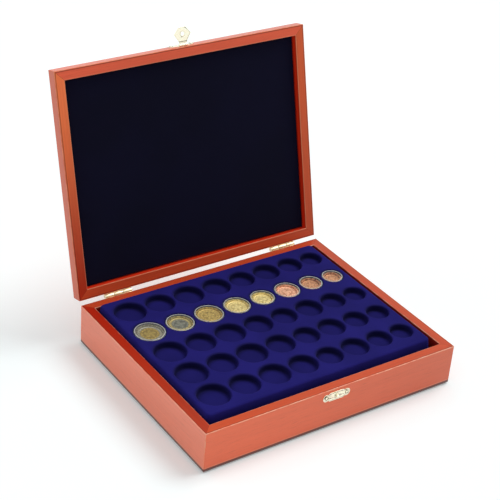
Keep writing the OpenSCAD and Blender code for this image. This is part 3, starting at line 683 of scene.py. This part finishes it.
coinShape = {  # rimIn goes out from the field, rimOut in from the edge, each with a depth below the top
    "rim": 1.1, "rimRise": 0.2, "fieldGap": 0.2, "rimIn": ((0.1, 0.08), (0.25, 0.0)),
    "rimOut": ((0.25, 0.0), (0.07, 0.07), (0.0, 0.25), (0.0, 0.35)), "coreGap": 0.02, "strike": 0.19,
    "steps": 160, "ring": 0.34, "reeds": 0.05, "reedsFrom": 0.3, "smoothTo": 40,
}
coinKinds = [  # metal, material slot, petals and leaves, from left to right
    ("silver", "silver_alloy", 5, 16), ("mutedGold", "gold_alloy", 4, 14), ("gold", "gold_alloy", 6, 16),
    ("paleGold", "gold_alloy", 5, 14), ("paleGold", "gold_alloy", 4, 12), ("copper", "copper_alloy", 3, 14),
    ("brownCopper", "copper_alloy", 5, 12), ("brownCopper", "copper_alloy", 4, 10),
]
coreKinds = {1: ("oldGold", "gold_alloy"), 2: ("oldSilver", "silver_alloy")}


def ringsBetween(start, end):
    count = max(2, round((end - start) / coinShape["ring"]))
    return [start + (end - start) * k / count for k in range(count + 1)]


def buildCoin(number):
    s = coinShape
    metal, slot, petals, leaves = coinKinds[number - 1]
    coin, core = f"coin_{number}", f"coin_{number}_core"
    lo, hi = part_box(coin)
    cx, cy = (lo.x + hi.x) / 2, (lo.y + hi.y) / 2
    r, t = (hi.x - lo.x) / 2 / mm, (hi.z - lo.z) / mm
    field = r - s["rim"] - s["fieldGap"]
    faceUp, faceDown = t - s["rimRise"], s["rimRise"]

    def raiseRelief(bm):
        layer = bm.verts.layers.float["relief"]
        for v in bm.verts:
            away = math.hypot(v.co.x - cx, v.co.y - cy) / mm
            turn = math.atan2(v.co.y - cy, v.co.x - cx)
            up = (v.co.z - lo.z) / mm
            v[layer] = 1.0
            if away < field - hair:
                lift = strike(away / field, turn, petals, leaves)
                if abs(up - faceUp) < hair:
                    v.co.z += lift * s["strike"] * mm
                    v[layer] = lift
                elif abs(up - faceDown) < hair:
                    v.co.z -= lift * s["strike"] * mm
                    v[layer] = lift
            elif away > r - 2 * hair and s["reedsFrom"] < up < t - s["reedsFrom"]:  # milled edge
                pinch = 1 - s["reeds"] * (0.5 + 0.5 * math.cos(s["steps"] / 2 * turn)) / away
                v.co.x = cx + (v.co.x - cx) * pinch
                v.co.y = cy + (v.co.y - cy) * pinch

    def struckPiece(node, outline, metal, slot):
        bm = bmesh.new()
        bm.verts.layers.float.new("relief")
        spinChain(bm, outline, (cx, cy, lo.z), s["steps"])
        bmesh.ops.remove_doubles(bm, verts=bm.verts, dist=weld)
        raiseRelief(bm)
        makePiece(node + "_struck", bm, f"capsule_{number}", [metal], [node], None, s["smoothTo"])

    inner = 0.0
    if core in nodes:
        coreLo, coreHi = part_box(core)
        split = (coreHi.x - coreLo.x) / 2 / mm
        inner = split + s["coreGap"]
    upper = [(away, faceUp) for away in ringsBetween(inner, field)]
    upper += [(field + out, t - below) for out, below in s["rimIn"]]
    upper += [(r - back, t - below) for back, below in s["rimOut"]]
    outline = upper + [(away, t - up) for away, up in reversed(upper)]
    if core in nodes:
        outline.append(outline[0])
    struckPiece(coin, outline, metal, slot)
    if core in nodes:
        across = ringsBetween(0, split)
        disc = [(away, faceUp) for away in across] + [(away, faceDown) for away in reversed(across)]
        struckPiece(core, disc, *coreKinds[number])


capsuleShape = {
    "disc": 1.3, "skirt": 1.2, "gap": 0.1, "part": 0.06, "soft": 0.35, "softSteps": 4, "ringSteps": 2,
    "steps": 88, "line": (1.4, 0.8), "lineWithin": 0.1, "ringAbove": 0.05,
}


def buildCapsule(number):
    s = capsuleShape
    lo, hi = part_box(f"capsule_base_{number}")
    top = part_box(f"capsule_lid_{number}")[1].z
    coinLo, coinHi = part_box(f"coin_{number}")
    at = ((lo.x + hi.x) / 2, (lo.y + hi.y) / 2, lo.z)
    r, h = (hi.x - lo.x) / 2 / mm, (top - lo.z) / mm
    seat = (coinHi.x - coinLo.x) / 2 / mm + s["gap"]
    wall, ringTop, soft = r - s["skirt"] - s["gap"], h - s["disc"] - s["gap"], s["soft"]
    dish = [(0, 0)] + arc(r - soft, soft, soft, -90, 0, s["softSteps"]) + [(r, s["disc"]), (wall, s["disc"])]
    dish += arc(wall - soft / 2, ringTop - soft / 2, soft / 2, 0, 90, s["ringSteps"])
    dish += [(seat, ringTop), (seat, s["disc"]), (0, s["disc"])]
    cap = [(0, h)] + [(r - inset, h) for inset in s["line"]]
    cap += arc(r - soft, h - soft, soft, 90, 0, s["softSteps"])
    cap += [(away, s["disc"] + s["part"]) for away in (r, r - s["skirt"])]
    cap += [(away, h - s["disc"]) for away in (r - s["skirt"], 0)]
    looks = ["capsule", coinKinds[number - 1][0] + "Ring", "capsuleHighlight", "capsuleSkirtSheen"]
    for half, outline in (("base", dish), ("lid", cap)):
        bm = bmesh.new()
        spinChain(bm, outline, at, s["steps"])
        for face in bm.faces:
            middle = face.calc_center_median() - Vector(at)
            away, up = middle.xy.length / mm, middle.z / mm
            if half == "base" and up > s["disc"] + s["ringAbove"]:  # the ring stands up from the lower disc
                face.material_index = 1
            elif half == "lid" and away > r - s["line"][1]:
                face.material_index = 3
            elif half == "lid" and away > r - s["line"][0] and up > h - s["lineWithin"]:
                face.material_index = 2
        node = f"capsule_{half}_{number}"
        makePiece(node + "_clear", bm, f"capsule_{number}", looks, [node])


for number in range(1, len(coinKinds) + 1):
    buildCoin(number)
    buildCapsule(number)
print("coins and capsules made")


hardwareShape = {
    "soften": 0.16, "softenSteps": 2, "crease": 0.25, "flat": 1, "sharp": 30, "neckLine": (3.3, 3.95),
    "border": 0.75, "stamped": 0.22, "stampWall": 0.15, "leastField": 20, "squareOn": 0.99, "sameLevel": 0.01,
}
haspAxis = Vector(next(j for j in frame["joints"] if "hasp" in j["name"])["pos_m"])
brassNodes = {  # body, metal, and which way the stamped faces of the shut case look
    "left_hinge_base_leaf": ("base", "hingeBrass", ()), "right_hinge_base_leaf": ("base", "hingeBrass", ()),
    "left_hinge_lid_leaf": ("lid", "hingeBrass", ()), "right_hinge_lid_leaf": ("lid", "hingeBrass", ()),
    "hasp_plate": ("lid", "brass", ()), "hasp_flap": ("hasp", "brass", ((0, 0, 1), (0, 0, -1))),
    "keeper_plate": ("base", "brass", ((0, -1, 0),)),
}


def stampBorder(bm, facing):  # sinks the field of a plate inside a raised border
    s = hardwareShape
    flat = [f for f in bm.faces if f.normal.dot(facing) > s["squareOn"]]
    level = max(f.calc_center_median().dot(facing) for f in flat if f.calc_area() > s["leastField"] * mm * mm)
    field = [f for f in flat if abs(f.calc_center_median().dot(facing) - level) < s["sameLevel"] * mm]
    bmesh.ops.inset_region(bm, faces=field, thickness=s["border"] * mm, depth=0, use_even_offset=True)
    walls = bmesh.ops.inset_region(bm, faces=field, thickness=s["stampWall"] * mm, depth=-s["stamped"] * mm,
                                   use_even_offset=True)
    # the step walls take the painted shade
    for face in walls["faces"]:
        face.material_index = 1


def lineNeck(bm):  # painted shade line across the flap's neck
    ahead = asOpen.to_3x3() @ Vector((0, -1, 0))
    start, end = (k * mm for k in hardwareShape["neckLine"])
    for reach in (start, end):
        cutAcross(bm, haspAxis + ahead * reach, ahead)
    for face in bm.faces:
        if start < (face.calc_center_median() - haspAxis).dot(ahead) < end:
            face.material_index = 1


def bentEdges(bm, convex):
    sharp = hardwareShape["sharp"]
    bent = [e for e in bm.edges if e.is_manifold and math.degrees(e.calc_face_angle()) > sharp]
    return [e for e in bent if e.is_convex == convex]


def bevelEdges(bm, edges, offset, steps):
    made = bmesh.ops.bevel(bm, geom=edges, offset=offset * mm, offset_type="OFFSET", segments=steps,
                           profile=0.5, affect="EDGES", clamp_overlap=True, material=-1)
    return made["faces"]


def softened(node, body, facings):
    s = hardwareShape
    bm = bmesh.new()
    bm.from_mesh(nodes[node].data)
    bmesh.ops.remove_doubles(bm, verts=bm.verts, dist=cadWeld)
    bmesh.ops.dissolve_limit(bm, angle_limit=math.radians(s["flat"]), verts=bm.verts, edges=bm.edges)
    if node == "keeper_plate":  # painted shade line where the stud stands on the plate
        for face in bevelEdges(bm, bentEdges(bm, False), s["crease"], 1):
            face.material_index = 1
    sharp = bentEdges(bm, True)
    for facing in facings:
        way = Vector(facing)
        stampBorder(bm, way if body == "base" else asOpen.to_3x3() @ way)
    bevelEdges(bm, sharp, s["soften"], s["softenSteps"])
    if node == "hasp_flap":
        lineNeck(bm)
    return bm


for node, (body, metal, facings) in brassNodes.items():
    makePiece(node + "_brass", softened(node, body, facings), body, [metal, "brassShade"], [node])


fastenerShape = {
    "rise": 0.7, "screwShank": 0.9, "nailShank": 0.7, "point": 1.6, "domeSteps": 6, "steps": 32,
    "slotWidth": 0.55, "slotFloor": 0.28, "firstTurn": 37, "nextTurn": 71,
    "dimple": 0.45, "dimpleFloor": 0.6, "dimpleDepth": 0.18, "dimpleEdge": (0.2, 0.8),
    "seat": 0.6, "seatRise": 0.08, "seatLine": 0.05,
}
fastenerNodes = {  # body, which way the heads look on the shut case, and whether they are slotted
    "base_hinge_screws": ("base", 1, True), "lid_hinge_screws": ("lid", 1, True),
    "hasp_nails": ("lid", -1, False), "keeper_nails": ("base", -1, False),
}


def separateBoxes(node, inLid):  # the box of each separate solid of a node, on the shut case
    bm = bmesh.new()
    bm.from_mesh(nodes[node].data)
    if inLid:
        bmesh.ops.transform(bm, matrix=asShut, verts=bm.verts)
    bmesh.ops.remove_doubles(bm, verts=bm.verts, dist=cadWeld)
    left = set(bm.verts)
    boxes = []
    while left:
        reached = [left.pop()]
        for v in reached:
            new = [n for n in (e.other_vert(v) for e in v.link_edges) if n in left]
            left.difference_update(new)
            reached += new
        boxes.append(boxOf(v.co for v in reached))
    bm.free()
    return sorted(boxes, key=lambda b: b[0].x)


def cutSlot(bm):
    s = fastenerShape
    half, floor = s["slotWidth"] / 2 * mm, s["slotFloor"] * mm
    for point, normal in (((half, 0, 0), (1, 0, 0)), ((-half, 0, 0), (1, 0, 0)), ((0, 0, floor), (0, 0, 1))):
        cutAcross(bm, point, normal)
    strip = [f for f in bm.faces if abs(f.calc_center_median().x) < half and f.calc_center_median().z > floor]
    # the slot's faces take the painted shade
    sunk = bmesh.ops.extrude_face_region(bm, geom=strip)["geom"]
    bmesh.ops.delete(bm, geom=strip, context="FACES")
    for part in sunk:
        if isinstance(part, bmesh.types.BMVert):
            part.co.z = floor
        elif isinstance(part, bmesh.types.BMFace):
            part.material_index = 1


def spinFastener(head, long, slotted):
    s = fastenerShape
    rise = s["rise"]
    shank = s["screwShank" if slotted else "nailShank"]
    reach = long - rise
    dome = (head * head + rise * rise) / (2 * rise)
    spread = math.degrees(math.asin(head / dome))
    outline = [(0, -reach), (shank, s["point"] - reach), (shank, 0)]
    if not slotted:  # a nail's head stands on a thin seat
        outline += [(head + s["seat"], 0), (head + s["seat"], s["seatRise"]), (head, s["seatRise"])]
    else:
        outline += [(head, 0)]
    outline += arc(0, rise - dome, dome, 90 - spread, 90, s["domeSteps"])[1:]
    if not slotted:  # a small centre dimple where the nail was set
        edge = outline[-2][1] * s["dimpleEdge"][0] + rise * s["dimpleEdge"][1]
        floor = rise - s["dimpleDepth"]
        outline[-1:] = [(s["dimple"], edge), (s["dimple"] * s["dimpleFloor"], floor), (0, floor)]
    bm = bmesh.new()
    spinChain(bm, outline, (0, 0, 0), s["steps"])
    bmesh.ops.remove_doubles(bm, verts=bm.verts, dist=weld)
    bmesh.ops.recalc_face_normals(bm, faces=bm.faces)
    if slotted:
        cutSlot(bm)
    else:  # painted shade line round the head
        for face in bm.faces:
            if face.calc_center_median().xy.length > (head - s["seatLine"]) * mm:
                face.material_index = 1
    return bm


def buildFasteners(node):
    s = fastenerShape
    body, way, slotted = fastenerNodes[node]
    inLid = body == "lid"
    bm = bmesh.new()
    for k, (lo, hi) in enumerate(separateBoxes(node, inLid)):
        one = spinFastener((hi.x - lo.x) / 2 / mm, (hi.y - lo.y) / mm, slotted)
        seat = hi.y - s["rise"] * mm if way > 0 else lo.y + s["rise"] * mm
        turn = Matrix.Rotation(math.radians(s["firstTurn"] + s["nextTurn"] * k), 4, "Z")
        stand = Matrix.Rotation(-way * math.pi / 2, 4, "X")
        place = Matrix.Translation(((lo.x + hi.x) / 2, seat, (lo.z + hi.z) / 2))
        bmesh.ops.transform(one, matrix=place @ stand @ turn, verts=one.verts)
        mesh = meshFrom(one, "fastener")
        bm.from_mesh(mesh)
        bpy.data.meshes.remove(mesh)
    makePiece(node + "_brass", bm, body, ["brass", "brassShade"], [node], asOpen if inLid else None)


for node in fastenerNodes:
    buildFasteners(node)
for node in ("left_hinge_pin", "right_hinge_pin", "hasp_pin"):
    finishSolid(node, finishes["pinSteel"])
print("hardware made")


studio = {
    "floor": 9.0, "floorColour": (0.880, 0.955, 0.962, 1), "floorGlow": 0.17, "white": (1, 1, 1, 1),
    "ambient": 0.58, "overhead": 0.42, "above": (0.15, 0.75), "toBack": (-0.3, 0.5),
    "lights": {  # where each comes from, its strength and its spread in degrees
        "key": ((1.0, 0.02, 1.4), 1.48, 36), "fill": ((-0.8, 0.15, 1.0), 0.23, 70)},
}


def buildFloor():
    bm = bmesh.new()
    bmesh.ops.create_grid(bm, x_segments=2, y_segments=2, size=studio["floor"])
    mesh = meshFrom(bm, "floor")
    f = Finish("paleFloor")
    rays = f.add("ShaderNodeLightPath").socket.node.outputs
    seen = Wire(f, rays["Is Camera Ray"]).most(Wire(f, rays["Is Glossy Ray"]))
    plain = f.add("ShaderNodeBsdfDiffuse", {}, {"Color": studio["floorColour"]})
    glow = f.add("ShaderNodeEmission", {}, {"Color": studio["white"], "Strength": seen * studio["floorGlow"]})
    both = f.add("ShaderNodeAddShader", {}, {0: plain, 1: glow})
    f.add("ShaderNodeOutputMaterial", {}, {"Surface": both})
    mesh.materials.append(f.material)
    floor = inScene("floor", mesh)


def buildRoom():
    world = bpy.data.worlds.new("softRoom")
    world.use_nodes = True
    w = Finish("softRoom", world.node_tree)
    rays = w.add("ShaderNodeLightPath").socket.node.outputs
    kinds = ("Is Camera Ray", "Is Glossy Ray", "Is Transmission Ray")
    seen, mirrored, through = (Wire(w, rays[k]) for k in kinds)
    toBack, up = w.apart(w.add("ShaderNodeTexCoord", {}, {}, "Generated"))[1:]
    high = w.ramp(up, *studio["above"]) * (1 - w.ramp(toBack, *studio["toBack"]))  # less from above the front
    spread = studio["ambient"] - high * (studio["ambient"] - studio["overhead"])
    direct = seen.most(mirrored).most(through)
    strength = direct + spread * (1 - direct)
    sky = w.add("ShaderNodeBackground", {}, {"Color": studio["white"], "Strength": strength})
    w.add("ShaderNodeOutputWorld", {}, {"Surface": sky})
    bpy.context.scene.world = world


def buildLights():
    for name, (source, strength, spread) in studio["lights"].items():
        sun = bpy.data.lights.new(name, "SUN")
        sun.energy = strength
        sun.angle = math.radians(spread)
        lamp = inScene(name, sun)
        lamp.matrix_world = (-Vector(source)).to_track_quat("-Z", "Y").to_matrix().to_4x4()


view = {
    "eye": (-754.3, -987.5, 878.9), "turn": 36.266, "down": 30.848, "roll": 4.82, "focal": 1435.1,
    "frame": 500, "sensor": 36, "clip": (0.05, 60),
}


def buildCamera():
    turn, down, roll = (math.radians(view[k]) for k in ("turn", "down", "roll"))
    ahead = Vector((math.sin(turn) * math.cos(down), math.cos(turn) * math.cos(down), -math.sin(down)))
    right = Vector((math.cos(turn), -math.sin(turn), 0))
    up = right.cross(ahead)
    side = right * math.cos(roll) + up * math.sin(roll)
    top = up * math.cos(roll) - right * math.sin(roll)
    data = bpy.data.cameras.new("photoView")
    data.sensor_width = view["sensor"]
    data.sensor_fit = "HORIZONTAL"
    data.lens = view["focal"] * view["sensor"] / view["frame"]
    data.clip_start, data.clip_end = view["clip"]
    camera = inScene("photoView", data)
    facing = Matrix((side, top, -ahead)).transposed().to_4x4()
    camera.matrix_world = Matrix.Translation(Vector(view["eye"]) * mm) @ facing
    bpy.context.scene.camera = camera


buildFloor()
buildRoom()
buildLights()
buildCamera()
bpy.context.scene.view_settings.view_transform = "Standard"
print("studio and camera set")
